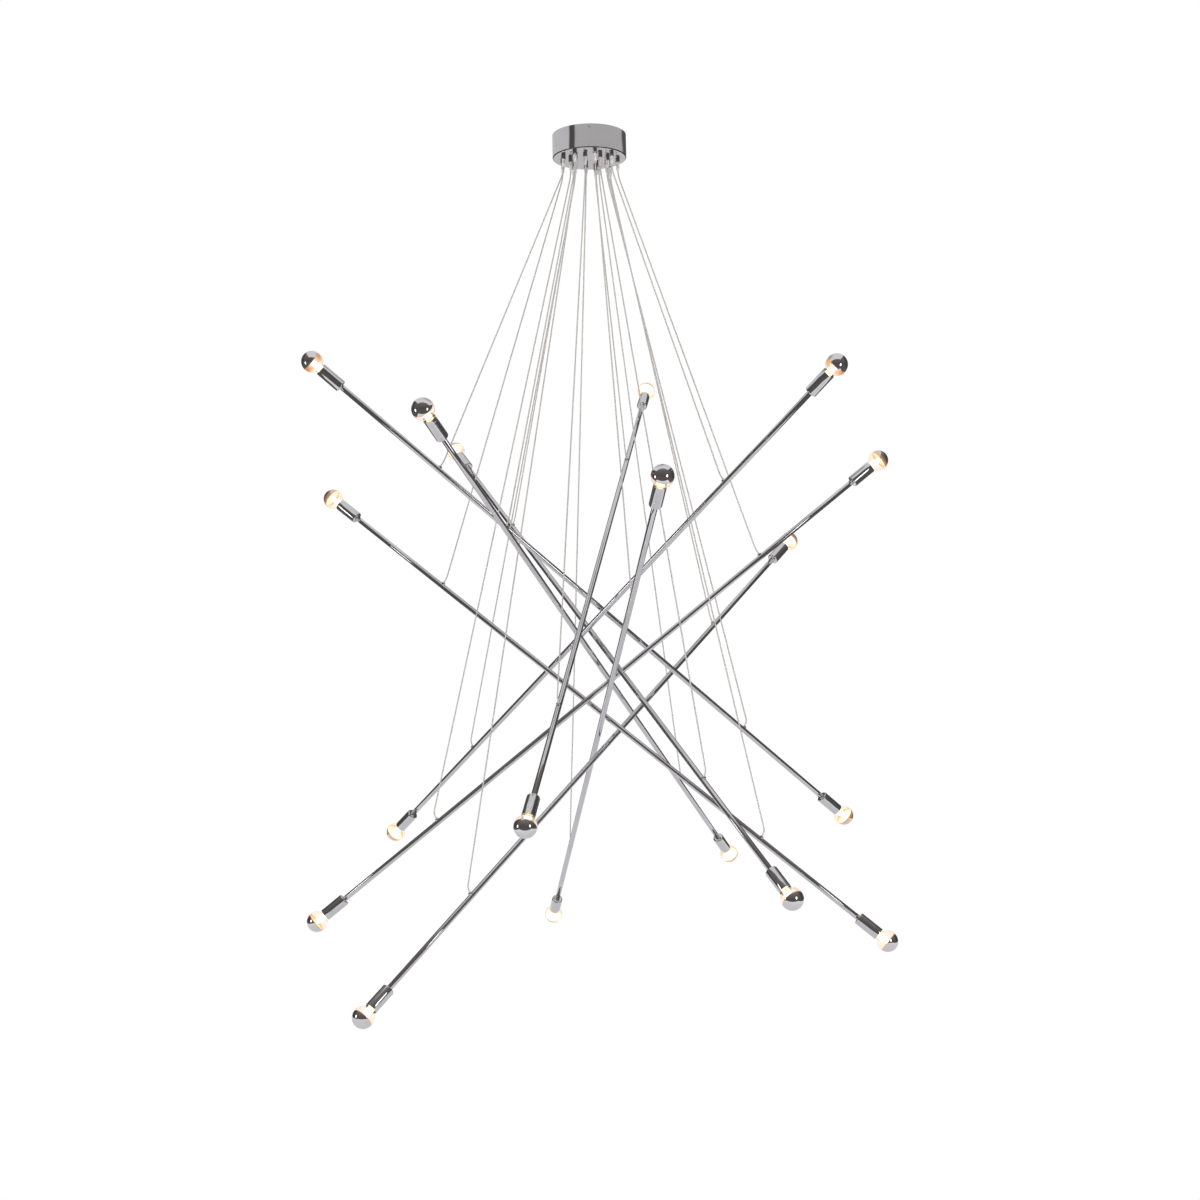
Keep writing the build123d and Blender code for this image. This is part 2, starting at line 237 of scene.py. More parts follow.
def grainGroup():  # the fine grain of a moulded or cast surface
    tree, given, made = newGroup(
        "mouldedGrain",
        {"Place": "v", "Grain Scale": "f", "Patch Scale": "f", "Smoothest": "f", "Roughest": "f",
         "Light": "c", "Dark": "c"},
        {"Colour": "c", "Roughness": "f", "Height": "f"})
    grain = noise(tree, given["Place"], given["Grain Scale"], mould["grainDetail"])
    patch = noise(tree, given["Place"], given["Patch Scale"], mould["patchDetail"])
    both = calc(tree, "MULTIPLY", calc(tree, "ADD", grain, patch), 0.5)
    share = step(tree, both, mould["patchFrom"], mould["patchFull"])
    tree.links.new(between(tree, share, given["Smoothest"], given["Roughest"]), made["Roughness"])
    tree.links.new(mixed(tree, share, given["Dark"], given["Light"]), made["Colour"])
    tree.links.new(grain, made["Height"])
    return tree


polishMarks = polishGroup()
mouldedGrain = grainGroup()


def newFinish(name, constants):
    material = bpy.data.materials.new(name)
    material.use_nodes = True
    shader = material.node_tree.nodes["Principled BSDF"]
    for label, value in constants.items():
        shader.inputs[label].default_value = value
    return material, material.node_tree, shader


def addMarks(tree, shader, group, place, depth, values):
    marks = addNode(tree, "ShaderNodeGroup")
    marks.node_tree = group
    tree.links.new(place, marks.inputs["Place"])
    for label, value in values.items():
        marks.inputs[label].default_value = value
    tree.links.new(marks.outputs["Colour"], shader.inputs["Base Color"])
    tree.links.new(marks.outputs["Roughness"], shader.inputs["Roughness"])
    inputs = {"Height": marks.outputs["Height"], "Strength": 1.0, "Distance": depth}
    tree.links.new(addNode(tree, "ShaderNodeBump", inputs).outputs[0], shader.inputs["Normal"])
    return marks.outputs["Colour"]


def polished(name, bright, dull, smoothest, roughest, lineScale=2600, cloudScale=60, depth=2e-7):
    material, tree, shader = newFinish(name, {"Metallic": 1.0})
    addMarks(tree, shader, polishMarks, ownPlace(tree), depth,
             {"Line Scale": lineScale, "Cloud Scale": cloudScale, "Smoothest": smoothest,
              "Roughest": roughest, "Bright": bright, "Dull": dull})
    return material


def moulded(name, light, dark, smoothest, roughest, place=ownPlace, grainScale=900, patchScale=90,
            depth=4e-6, constants=None):
    material, tree, shader = newFinish(name, constants or {})
    addMarks(tree, shader, mouldedGrain, place(tree), depth,
             {"Grain Scale": grainScale, "Patch Scale": patchScale, "Smoothest": smoothest,
              "Roughest": roughest, "Light": light, "Dark": dark})
    return material


chromeTube = polished("chromeTube", grey(0.80, -0.01), grey(0.74), 0.055, 0.075, cloudScale=9)
chromeCups = polished("chromeCups", grey(0.82, -0.01), grey(0.76, -0.01), 0.025, 0.08)
chromeFittings = polished("chromeFittings", grey(0.78, -0.01), grey(0.70), 0.05, 0.12, cloudScale=120)
capNickel = polished("capNickel", grey(0.72, 0.05), grey(0.58, 0.08), 0.16, 0.32, cloudScale=220)
linerBrass = polished("linerBrass", (0.83, 0.62, 0.28, 1), (0.62, 0.43, 0.18, 1), 0.16, 0.30,
                      cloudScale=200)
zincPlate = moulded("zincPlate", grey(0.66, -0.02), grey(0.50, -0.02), 0.30, 0.46, objectPlace,
                    constants={"Metallic": 1.0})
whiteNylon = moulded("whiteNylon", grey(0.83, 0.01), grey(0.74, 0.02), 0.38, 0.52, objectPlace)
blackBakelite = moulded("blackBakelite", (0.035, 0.032, 0.030, 1), (0.016, 0.015, 0.014, 1), 0.22, 0.36)
sealGlass = moulded("sealGlass", (0.045, 0.035, 0.05, 1), (0.018, 0.014, 0.02, 1), 0.10, 0.22)
clearGrip = moulded("clearGrip", grey(0.97, 0.005), grey(0.90, 0.01), 0.20, 0.36, depth=2e-6,
                    constants={"Transmission Weight": 0.45, "IOR": 1.35})


def arc(centre, radius, start, end, steps):
    turns = [math.radians(start + (end - start) * i / steps) for i in range(steps + 1)]
    return [(centre[0] + radius * math.cos(t), centre[1] + radius * math.sin(t)) for t in turns]


def threadRadius(crest, root, height, pitch):  # how far out a screw thread is at this height, by the angle
    return lambda t: root + (crest - root) * (0.5 + 0.5 * math.cos(math.tau * height / pitch - t))


def threadRows(crest, root, low, high, pitch, rowsPerTurn=7):
    count = max(2, round((high - low) / pitch * rowsPerTurn))
    heights = [low + (high - low) * row / count for row in range(count + 1)]
    return [(threadRadius(crest, root, height, pitch), height) for height in heights]


def meshOf(shape, name="shape"):
    mesh = bpy.data.meshes.new(name)
    shape.to_mesh(mesh)
    shape.free()
    return mesh


def template(shape, flat=False, sharp=32):  # a shape in its own place, which its points remember
    bmesh.ops.recalc_face_normals(shape, faces=shape.faces)
    for face in shape.faces:
        face.smooth = not flat
    for edge in shape.edges:
        if len(edge.link_faces) == 2 and edge.calc_face_angle() > math.radians(sharp):
            edge.smooth = False
    own = shape.verts.layers.float_vector.new("ownPlace")
    for vert in shape.verts:
        vert[own] = vert.co
    return meshOf(shape)


# A mesh turned about Z. A radius may be a function of the angle, and finishes a list, one for each stretch.
def turned(outline, steps=48, finishes=0, loop=False, flat=False, sharp=32):
    shape = bmesh.new()
    angles = [math.tau * i / steps for i in range(steps)]
    rings = []
    for radius, height in outline:
        if callable(radius):
            spots = [(radius(t), t) for t in angles]
        elif radius < 1e-9:  # a pole
            spots = [(0, 0)]
        else:
            spots = [(radius, t) for t in angles]
        rings.append([shape.verts.new((out * math.cos(t), out * math.sin(t), height)) for out, t in spots])
    pairs = list(zip(rings, rings[1:]))
    if loop:
        pairs.append((rings[-1], rings[0]))
    for index, (first, second) in enumerate(pairs):
        finish = finishes[index] if isinstance(finishes, list) else finishes
        for i in range(steps):
            j = (i + 1) % steps
            corners = [first[i % len(first)], first[j % len(first)],
                       second[j % len(second)], second[i % len(second)]]
            face = shape.faces.new(list(dict.fromkeys(corners)))
            face.material_index = finish
    return template(shape, flat, sharp)


def joined(*parts):
    whole = bmesh.new()
    for mesh in parts:
        whole.from_mesh(mesh)
    return meshOf(whole)


def assembled(name, shapes, finishes):  # one piece from (mesh, place) pairs, its object at the origin
    whole = bmesh.new()
    for mesh, place in shapes:
        start = len(whole.verts)
        whole.from_mesh(mesh)
        whole.verts.ensure_lookup_table()
        bmesh.ops.transform(whole, matrix=place, verts=whole.verts[start:])
    mesh = meshOf(whole, name)
    for finish in finishes:
        mesh.materials.append(finish)
    return added(name, mesh)


def settled(piece, finishes):  # what its modifiers make of a piece, as a plain mesh
    graph = bpy.context.evaluated_depsgraph_get()
    mesh = bpy.data.meshes.new_from_object(piece.evaluated_get(graph), depsgraph=graph)
    piece.modifiers.clear()
    piece.data = mesh
    mesh.materials.clear()
    for finish in finishes:
        mesh.materials.append(finish)
    return piece


def fitted(piece, body, slot, *nodes):
    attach(piece, body)
    if nodes:
        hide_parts(*nodes)
    return piece


atRest = Matrix.Identity(4)

canopy = {
    "radius": 0.0825,
    "height": 0.052,
    "wall": 0.0012,
    "lowerEdge": 0.002,
    "rimEdge": 0.0004,
    "sides": 128,
    "paintedEdgeReflection": 0.14,  # the grey of the painted dark reflection round the lower edge
}


def canopyFinish():  # polished, with a painted dark reflection round its lower edge
    material = polished("chromeCanopy", grey(0.80), grey(0.76, 0.01), 0.02, 0.07, cloudScale=28)
    tree = material.node_tree
    shader = tree.nodes["Principled BSDF"]
    reach = lengthOf(tree, times(tree, ownPlace(tree), (1, 1, 0)))
    height = axisOf(tree, ownPlace(tree), "Z")
    radius, floor = canopy["radius"], -canopy["height"]
    faint, full = 1.1 * canopy["lowerEdge"], 0.8 * canopy["lowerEdge"]
    outside = step(tree, reach, radius - faint, radius - full)
    below = step(tree, height, floor + full, floor + faint, 1.0, 0.0)
    # the painted dark reflection lies on the lower edge's round alone
    dark = calc(tree, "MULTIPLY", outside, below)
    bright = shader.inputs["Base Color"].links[0].from_socket
    tree.links.new(mixed(tree, dark, bright, grey(canopy["paintedEdgeReflection"], 0.03)), shader.inputs["Base Color"])
    return material


def canopyCup():
    radius, floor, wall = canopy["radius"], -canopy["height"], canopy["wall"]
    edge, rim = canopy["lowerEdge"], canopy["rimEdge"]
    inner, inside, innerEdge = radius - wall, floor + wall, edge - wall
    outline = [(0, floor), (0.3 * radius, floor), (0.7 * radius, floor)]
    outline += arc((radius - edge, floor + edge), edge, -90, 0, 8)
    outline += arc((radius - rim, -rim), rim, 0, 90, 3)
    outline += arc((inner + rim, -rim), rim, 90, 180, 3)
    outline += arc((inner - innerEdge, inside + innerEdge), innerEdge, 0, -90, 4)
    outline += [(0.7 * radius, inside), (0, inside)]
    piece = assembled("canopyCup", [(turned(outline, canopy["sides"]), atRest)], [canopyFinish()])
    return fitted(piece, "canopy", "chrome_canopy", "canopy_cup")


canopyCup()

screw = {
    "headRadius": 0.0036,
    "headHigh": 0.0022,
    "shank": 0.002,
    "length": 0.008,
    "depth": 0.007,  # below the canopy's top edge
    "slotWidth": 0.0009,
    "slotReach": 0.0022,
    "slotDepth": 0.0010,
    "slotProud": 0.0001,  # how far the cutter's middle stands over the dome
}


def screwShape():  # a domed head with a cross recess, on its shank
    high, radius, shank, end = screw["headHigh"], screw["headRadius"], screw["shank"], -screw["length"]
    dome = (radius ** 2 + high ** 2) / (2 * high)
    spread = math.degrees(math.asin(radius / dome))
    outline = [(0, end), (shank * 0.8, end), (shank, end * 0.95), (shank, 0), (radius, 0)]
    outline += arc((0, high - dome), dome, 90 - spread, 90, 10)[1:-1] + [(0, high)]
    body = added("screwBody", turned(outline, 40))
    cross = bmesh.new()
    size = Matrix.Diagonal((2 * screw["slotReach"], screw["slotWidth"], 2 * screw["slotDepth"], 1))
    lift = Matrix.Translation((0, 0, high + screw["slotProud"]))
    for turn in (0, 90):
        place = Matrix.Rotation(math.radians(turn), 4, "Z") @ lift @ size
        bmesh.ops.create_cube(cross, size=1, matrix=place)
    cutter = added("screwCross", template(cross, flat=True))
    cut = body.modifiers.new("cross", "BOOLEAN")
    cut.operation = "DIFFERENCE"
    cut.solver = "EXACT"
    cut.use_self = True
    cut.object = cutter
    mesh = settled(body, [chromeFittings]).data
    bpy.data.objects.remove(body)
    bpy.data.objects.remove(cutter)
    return mesh


def canopyScrews():
    shape = screwShape()
    places = []
    for side in (1, -1):
        outward = Vector((0, side, 0))
        origin = outward * canopy["radius"] - Vector((0, 0, screw["depth"]))
        places.append((shape, placed(origin, Vector((0, 0, 1)), outward)))
    piece = assembled("canopyScrews", places, [chromeFittings])
    return fitted(piece, "canopy", "chrome_fittings", "canopy_screws")


canopyScrews()

for nodeName, finish in (("ceiling_bracket", zincPlate), ("terminal_block", whiteNylon)):
    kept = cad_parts[nodeName].data
    kept.materials.clear()
    kept.materials.append(finish)
print("stage: canopy")

rings = {"outerRing": 0.063, "innerRing": 0.042}  # glands of the upper and of the lower cords


# Puts a fitting under the canopy for both cords of each tube: on the outer ring towards its
# upper end, and on the inner ring towards its lower end.
def fittingTree():
    tree = bpy.data.node_groups.new("cordFittings", "GeometryNodeTree")
    for label, kind in (("Geometry", "Geometry"), ("Outer Ring", "Float"), ("Inner Ring", "Float"),
                        ("Fitting", "Object"), ("Finish", "Material")):
        tree.interface.new_socket(name=label, in_out="INPUT", socket_type=f"NodeSocket{kind}")
    tree.interface.new_socket(name="Geometry", in_out="OUTPUT", socket_type="NodeSocketGeometry")
    given = tree.nodes.new("NodeGroupInput").outputs
    made = tree.nodes.new("NodeGroupOutput").inputs
    azimuth = addNode(tree, "GeometryNodeInputNamedAttribute", {"Name": "azimuth"},
                      data_type="FLOAT").outputs[0]
    reaches = (given["Outer Ring"], calc(tree, "MULTIPLY", given["Inner Ring"], -1.0))
    both = tree.nodes.new("GeometryNodeJoinGeometry")
    for reach in reaches:
        spot = addNode(tree, "ShaderNodeCombineXYZ", {
            "X": calc(tree, "MULTIPLY", calc(tree, "COSINE", azimuth), reach),
            "Y": calc(tree, "MULTIPLY", calc(tree, "SINE", azimuth), reach)})
        moved = addNode(tree, "GeometryNodeSetPosition", {
            "Geometry": given["Geometry"], "Offset": spot.outputs[0]})
        tree.links.new(moved.outputs[0], both.inputs[0])
    shape = addNode(tree, "GeometryNodeObjectInfo", {"Object": given["Fitting"]})
    spread = addNode(tree, "GeometryNodeInstanceOnPoints", {
        "Points": both.outputs[0], "Instance": shape.outputs["Geometry"]})
    real = addNode(tree, "GeometryNodeRealizeInstances", {"Geometry": spread.outputs[0]})
    finish = addNode(tree, "GeometryNodeSetMaterial", {
        "Geometry": real.outputs[0], "Material": given["Finish"]})
    tree.links.new(finish.outputs[0], made[0])
    return tree


cordFittings = fittingTree()


def overEachCord(name, shape, finish):
    points = bpy.data.meshes.new(name)
    points.from_pydata([(0, 0, 0) for hang in hangs], [], [])
    azimuths = points.attributes.new("azimuth", "FLOAT", "POINT")
    for value, hang in zip(azimuths.data, hangs):
        value.value = math.radians(hang["azimuth"])
    piece = added(name, points)
    pattern = added(name + "Pattern", shape)
    modifier = piece.modifiers.new("fittings", "NODES")
    modifier.node_group = cordFittings
    values = {"Outer Ring": rings["outerRing"], "Inner Ring": rings["innerRing"], "Fitting": pattern,
              "Finish": finish}
    for item in cordFittings.interface.items_tree:
        if item.in_out == "INPUT" and item.name in values:
            modifier[item.identifier] = values[item.name]
    settled(piece, [finish])
    bpy.data.objects.remove(pattern)
    return piece


gland = {
    "across": 0.0085,
    "high": 0.008,
    "chamfer": 0.0005,
    "stud": 0.003,
    "aboveFloor": 0.0052,
    "spigot": 0.004,
    "bore": 0.0022,
    "nutHigh": 0.003,
    "studEdge": 0.0004,
    "threadDeep": 0.00025,
    "threadFrom": 0.0006,  # from either end of the stud's upper part
    "threadPitch": 0.001,
    "threadRow": 0.00025,
}


def glandShape():  # hexagon collar, its hollow stud and the lock nut on top of the canopy's floor
    floor = -canopy["height"]
    foot, corner, chamfer = floor - gland["high"], gland["across"] / math.sqrt(3), gland["chamfer"]
    bore, stud, edge, top = gland["bore"], gland["stud"], gland["studEdge"], floor + gland["aboveFloor"]
    collar = turned([
        (stud, foot), (corner - 1.6 * chamfer, foot), (corner, foot + chamfer),
        (corner, floor - chamfer), (corner - 1.6 * chamfer, floor), (stud, floor)], 6, loop=True, flat=True)
    low = foot - gland["spigot"]
    spigot = [(bore, low), (stud - edge, low), (stud, low + edge)]
    rows = int((top - floor) / gland["threadRow"])
    for row in range(rows):  # the fine thread that the nut runs on
        height = floor + gland["threadFrom"] + (top - floor - 2 * gland["threadFrom"]) * row / rows
        radius = threadRadius(stud - gland["threadDeep"], stud, height, gland["threadPitch"])
        spigot.append((radius, height))
    spigot += [(stud - edge, top), (bore, top)]
    stem = turned(spigot, 28, loop=True, sharp=50)
    nutLow, nutTop = floor + canopy["wall"], floor + canopy["wall"] + gland["nutHigh"]
    nut = turned([
        (stud, nutLow), (corner - chamfer, nutLow), (corner, nutLow + chamfer),
        (corner, nutTop - chamfer), (corner - chamfer, nutTop), (stud, nutTop)], 6, loop=True, flat=True)
    return joined(collar, stem, nut)


fitted(overEachCord("cordGlands", glandShape(), chromeFittings), "canopy", "chrome_fittings", "cord_glands")

grip = {
    "top": 0.060,
    "length": 0.017,
    "topRadius": 0.0042,
    "mouthRadius": 0.0034,
    "land": 0.004,
    "edge": 0.0005,
    "lip": 0.0003,
    "flare": 0.001,
    "socket": 0.00305,
    "socketDeep": 0.004,
    "bore": 0.0022,
    "cordHole": 0.0016,
}


def gripShape():
    top, mouth, edge, lip = -grip["top"], -grip["top"] - grip["length"], grip["edge"], grip["lip"]
    outline = [(grip["socket"], top), (grip["topRadius"] - edge, top), (grip["topRadius"], top - edge)]
    for share in (0.3, 0.6, 0.85):
        radius = grip["topRadius"] + (grip["mouthRadius"] - grip["topRadius"]) * share
        outline.append((radius, top - grip["length"] * share))
    outline += arc((grip["mouthRadius"] - edge, mouth + edge), edge, 0, -90, 4)
    hole, bore, land, deep = grip["cordHole"], grip["bore"], mouth + grip["land"], top - grip["socketDeep"]
    outline += [(hole + lip, mouth), (hole, mouth + lip), (hole, land), (bore, land + grip["flare"]),
                (bore, deep), (grip["socket"], deep)]
    return turned(outline, 32, loop=True)


fitted(overEachCord("cordGrips", gripShape(), clearGrip), "canopy", "clear_plastic", "cord_grips")
print("stage: glands and grips")

tube = {
    "radius": 0.006,
    "wall": 0.001,
    "half": 0.73297,
    "edge": 0.0003,
    "cordEntry": 0.466,  # from the tube's middle to each cord
    "sides": 40,
}
ferrule = {
    "radius": 0.0046,
    "topRadius": 0.0024,
    "high": 0.0032,
    "bore": 0.00155,
    "lip": 0.0003,
    "sink": 0.0003,  # into the tube's wall
}
stub = {"radius": 0.00495, "wall": 0.001, "inTube": 0.018, "beyond": 0.0112}


def pipeShape():
    outer, inner, half, edge = tube["radius"], tube["radius"] - tube["wall"], tube["half"], tube["edge"]
    outline = [(inner, -half), (outer - edge, -half), (outer, -half + edge)]
    outline += [(outer, half * place) for place in (-0.75, -0.5, -0.25, 0, 0.25, 0.5, 0.75)]
    outline += [(outer, half - edge), (outer - edge, half), (inner, half)]
    return turned(outline, tube["sides"], loop=True, sharp=60)


def ferruleShape():  # a low domed collar about Z whose foot follows the tube's round, with the tube along X
    top, shoulder = tube["radius"] + ferrule["high"], tube["radius"] + ferrule["high"] / 4
    radius, narrow, bore, lip = ferrule["radius"], ferrule["topRadius"], ferrule["bore"], ferrule["lip"]
    foot = tube["radius"] / 2
    outline = [(bore, foot), (radius, foot), (radius, shoulder)]
    for share in (0.15, 0.3, 0.45, 0.6, 0.75, 0.9):
        turn = math.radians(90 * share)
        inward = (radius - narrow) * (1 - math.cos(turn))
        outline.append((radius - inward, shoulder + (top - shoulder) * math.sin(turn)))
    outline += [(narrow, top), (bore + lip, top), (bore, top - lip)]
    mesh = turned(outline, 32, loop=True)
    for vert in mesh.vertices:
        if vert.co.z < shoulder - 0.0001:  # the foot alone
            vert.co.z = math.sqrt(tube["radius"] ** 2 - vert.co.y ** 2) - ferrule["sink"]
    return mesh


def stubShape():  # the hollow threaded stub between a tube and its cup
    outer, inner = stub["radius"], stub["radius"] - stub["wall"]
    low, high = tube["half"] - stub["inTube"], tube["half"] + stub["beyond"]
    return turned([(inner, low), (outer, low), (outer, high), (inner, high)], 24, loop=True)


cup = {
    "radius": 0.01325,
    "wall": 0.001,
    "mouth": 0.023,
    "end": 0.07803,
    "between": (0.018, 0.036),  # two plain rings, from the mouth
    "tailWall": 0.0012,
    "tailEdge": 0.003,
    "lip": 0.0004,
    "hole": 0.00505,
}


def cupShape():
    outer, inner, mouth, end = cup["radius"], cup["radius"] - cup["wall"], cup["mouth"], cup["end"]
    edge, lip, inside = cup["tailEdge"], cup["lip"], cup["end"] - cup["tailWall"]
    innerEdge = edge - cup["wall"]
    outline = arc((inner + lip, mouth + lip), lip, 180, 270, 3)
    outline += arc((outer - lip, mouth + lip), lip, 270, 360, 3)
    outline += [(outer, mouth + far) for far in cup["between"]]
    outline += arc((outer - edge, end - edge), edge, 0, 90, 8)
    outline += [(cup["hole"], end), (cup["hole"], inside)]
    outline += arc((inner - innerEdge, inside - innerEdge), innerEdge, 90, 0, 5)
    return turned(outline, 56, loop=True)


holder = {
    "radius": 0.0120,
    "edge": 0.0005,
    "bore": 0.0079,
    "boreLip": 0.0003,
    "face": 0.02903,
    "grooveInner": 0.0097,
    "grooveOuter": 0.0105,
    "grooveSide": 0.0002,
    "grooveDeep": 0.0005,
    "boreEnd": 0.05403,
    "back": 0.06203,
    "neck": 0.008,
    "neckEnd": 0.07683,
    "neckBore": 0.005,
    "neckFloor": 0.06633,
    "linerOuter": 0.00788,
    "linerCrest": 0.0071,
    "linerRoot": 0.0076,
    "linerInset": 0.0008,
    "linerEdge": 0.0002,
    "threadInset": 0.0006,
    "pin": 0.002,
    "pinTop": 0.05263,
    "pitch": 0.00282,
}


def holderShape():  # the moulded body, its brass liner and its contact pin
    radius, bore, face, neck = holder["radius"], holder["bore"], holder["face"], holder["neck"]
    edge, lip, deep, side = holder["edge"], holder["boreLip"], holder["grooveDeep"], holder["grooveSide"]
    boreEnd, back = holder["boreEnd"], holder["back"]
    neckEnd, neckFloor = holder["neckEnd"], holder["neckFloor"]
    body = turned([
        (0, boreEnd), (bore, boreEnd), (bore, face + lip), (bore + lip, face),
        (holder["grooveInner"], face), (holder["grooveInner"] + side, face + deep),
        (holder["grooveOuter"] - side, face + deep), (holder["grooveOuter"], face),
        (radius - edge, face), (radius, face + edge), (radius, back), (neck, back), (neck, neckEnd),
        (holder["neckBore"], neckEnd), (holder["neckBore"], neckFloor), (0, neckFloor)], 40)
    thin = holder["linerEdge"]
    low, high = face + holder["linerInset"], boreEnd - thin
    liner = [(holder["linerCrest"] + thin, low), (holder["linerOuter"], low), (holder["linerOuter"], high)]
    liner += threadRows(holder["linerRoot"], holder["linerCrest"], low + holder["threadInset"], high - thin,
                        holder["pitch"])[::-1]
    pin, pinFoot, pinTop = holder["pin"], boreEnd - 0.0001, holder["pinTop"]
    contact = [(0, pinFoot), (pin, pinFoot), (pin, pinTop + lip), (pin - edge, pinTop), (0, pinTop)]
    return joined(body, turned(liner, 36, finishes=1, loop=True, sharp=60), turned(contact, 20, finishes=1))


lamp = {
    "globe": 0.0225,
    "wall": 0.0009,
    "neck": 0.009,
    "neckCurve": 0.006,
    "neckStraight": 0.0013,
    "crownEdge": -0.0010,  # how far past the globe's middle the silvering reaches
    "thinEdge": 0.0026,
    "shineFrom": -0.06,  # how far back a lamp points before its light shows through the silvering
    "shineFull": 0.12,
    "shineDeep": 0.012,  # how much farther up the silvering it then shows
    "bronze": (0.42, 0.24, 0.13, 1),
    "bronzeGlow": (0.52, 0.27, 0.12, 1),
    "amber": (0.74, 0.49, 0.26, 1),
    "amberFrom": 0.004,
    "amberReach": 0.016,  # how far up the glass the painted amber glow reaches on some lamps
    "amberRim": (0.02, 0.20),
    "capStart": 0.02553,
    "capLip": 0.0006,
    "capSlope": 0.001,
    "capSkirt": 0.0084,
    "capRadius": 0.007,
    "capRoot": 0.0064,
    "capShell": 0.02853,
    "capEnd": 0.04653,
    "threadFrom": 0.001,
    "threadShort": 0.0008,
    "sealSlope": 0.0013,
    "sealRadius": 0.0052,
    "sealEnd": 0.04903,
    "end": 0.05253,
    "contact": 0.0032,
    "contactEdge": 0.0002,
    "contactRound": 0.0012,
    "pitch": 0.00282,
    "glow": 0.0058,
    "glowAt": 0.0028,
    "glowNeck": [(0.0064, 0.0090), (0.0073, 0.0140), (0.0075, 0.0200), (0.0074, 0.0250), (0, 0.0250)],
}


def mirrorFinish():  # the crown's silvering, bronze and lit from inside where it thins out at its edge
    material, tree, shader = newFinish("crownMirror", {"Metallic": 1.0, "Emission Strength": 1.0})
    silver = addMarks(tree, shader, polishMarks, ownPlace(tree), 1e-7,
                      {"Line Scale": 900, "Cloud Scale": 90, "Smoothest": 0.015, "Roughest": 0.05,
                       "Bright": grey(0.88), "Dull": grey(0.84, 0.01)})
    shine = calc(tree, "MULTIPLY", attribute(tree, "shine"), lamp["shineDeep"])
    start = calc(tree, "SUBTRACT", lamp["crownEdge"] - lamp["thinEdge"], shine)
    thin = step(tree, axisOf(tree, ownPlace(tree), "Z"), start, lamp["crownEdge"])
    tree.links.new(mixed(tree, thin, silver, lamp["bronze"]), shader.inputs["Base Color"])
    tree.links.new(mixed(tree, thin, (0, 0, 0, 1), lamp["bronzeGlow"]), shader.inputs["Emission Color"])
    return material


crownGlow = [
    (0.0, (1.0, 0.99, 0.96)), (0.36, (1.0, 0.96, 0.87)), (0.58, (1.0, 0.85, 0.64)),
    (0.78, (0.95, 0.64, 0.38)), (0.92, (0.70, 0.38, 0.18)), (1.0, (0.46, 0.23, 0.11)),
]


def crownInsideFinish():  # the silvering seen from inside: lit warm, deepest in colour at its edge
    material, tree, shader = newFinish("crownInside", {"Roughness": 0.25, "Emission Strength": 1.0})
    depth = addNode(tree, "ShaderNodeMapRange", {
        "Value": axisOf(tree, ownPlace(tree), "Z"), "From Min": -lamp["globe"],
        "From Max": lamp["crownEdge"]}).outputs[0]
    uneven = calc(tree, "SUBTRACT", noise(tree, ownPlace(tree), 75.0, 2.0), 0.5)
    glow = ramp(tree, calc(tree, "ADD", depth, calc(tree, "MULTIPLY", uneven, 0.4)), crownGlow)
    tree.links.new(glow, shader.inputs["Emission Color"])
    tree.links.new(mixed(tree, 0.7, glow, (0.1, 0.05, 0.03, 1)), shader.inputs["Base Color"])
    return material


filamentGlow = [(0.0, (1.0, 0.97, 0.90)), (0.6, (1.0, 0.93, 0.72)), (1.0, (1.0, 0.82, 0.46))]


def glowFinish():  # the blown-out light round the filament, yellower towards the cap
    material, tree, shader = newFinish("filamentGlow", {"Roughness": 0.5, "Emission Strength": 1.6})
    glow = ramp(tree, step(tree, axisOf(tree, ownPlace(tree), "Z"), 0.004, 0.024), filamentGlow)
    tree.links.new(glow, shader.inputs["Emission Color"])
    tree.links.new(mixed(tree, 0.5, glow, (1, 1, 1, 1)), shader.inputs["Base Color"])
    return material


def glassFinish():  # clear glass, tinted by the light inside it, with a painted amber glow by the silvering on some lamps
    material, tree, shader = newFinish("lampGlass", {
        "Roughness": 0.0, "Transmission Weight": 1.0, "IOR": 1.45, "Emission Strength": 1.0})
    share = step(tree, noise(tree, ownPlace(tree), 70.0, 2.0), 0.35, 0.65)
    clear = mixed(tree, share, (0.985, 0.93, 0.89, 1), (0.97, 0.90, 0.85, 1))
    height = axisOf(tree, ownPlace(tree), "Z")
    # a painted amber glow next to the silvering, strongest where the glass is seen edge-on
    nearCrown = step(tree, height, lamp["amberFrom"], lamp["amberReach"], 1.0, 0.0)
    facing = addNode(tree, "ShaderNodeLayerWeight", {"Blend": 0.5}).outputs["Facing"]
    rim = step(tree, facing, *lamp["amberRim"])
    paintedAmber = calc(tree, "MULTIPLY", attribute(tree, "amber"), calc(tree, "MULTIPLY", nearCrown, rim))
    glow = mixed(tree, share, (0.030, 0.017, 0.009, 1), (0.055, 0.030, 0.016, 1))
    tree.links.new(mixed(tree, paintedAmber, clear, lamp["amber"]), shader.inputs["Base Color"])
    tree.links.new(glow, shader.inputs["Emission Color"])
    return material


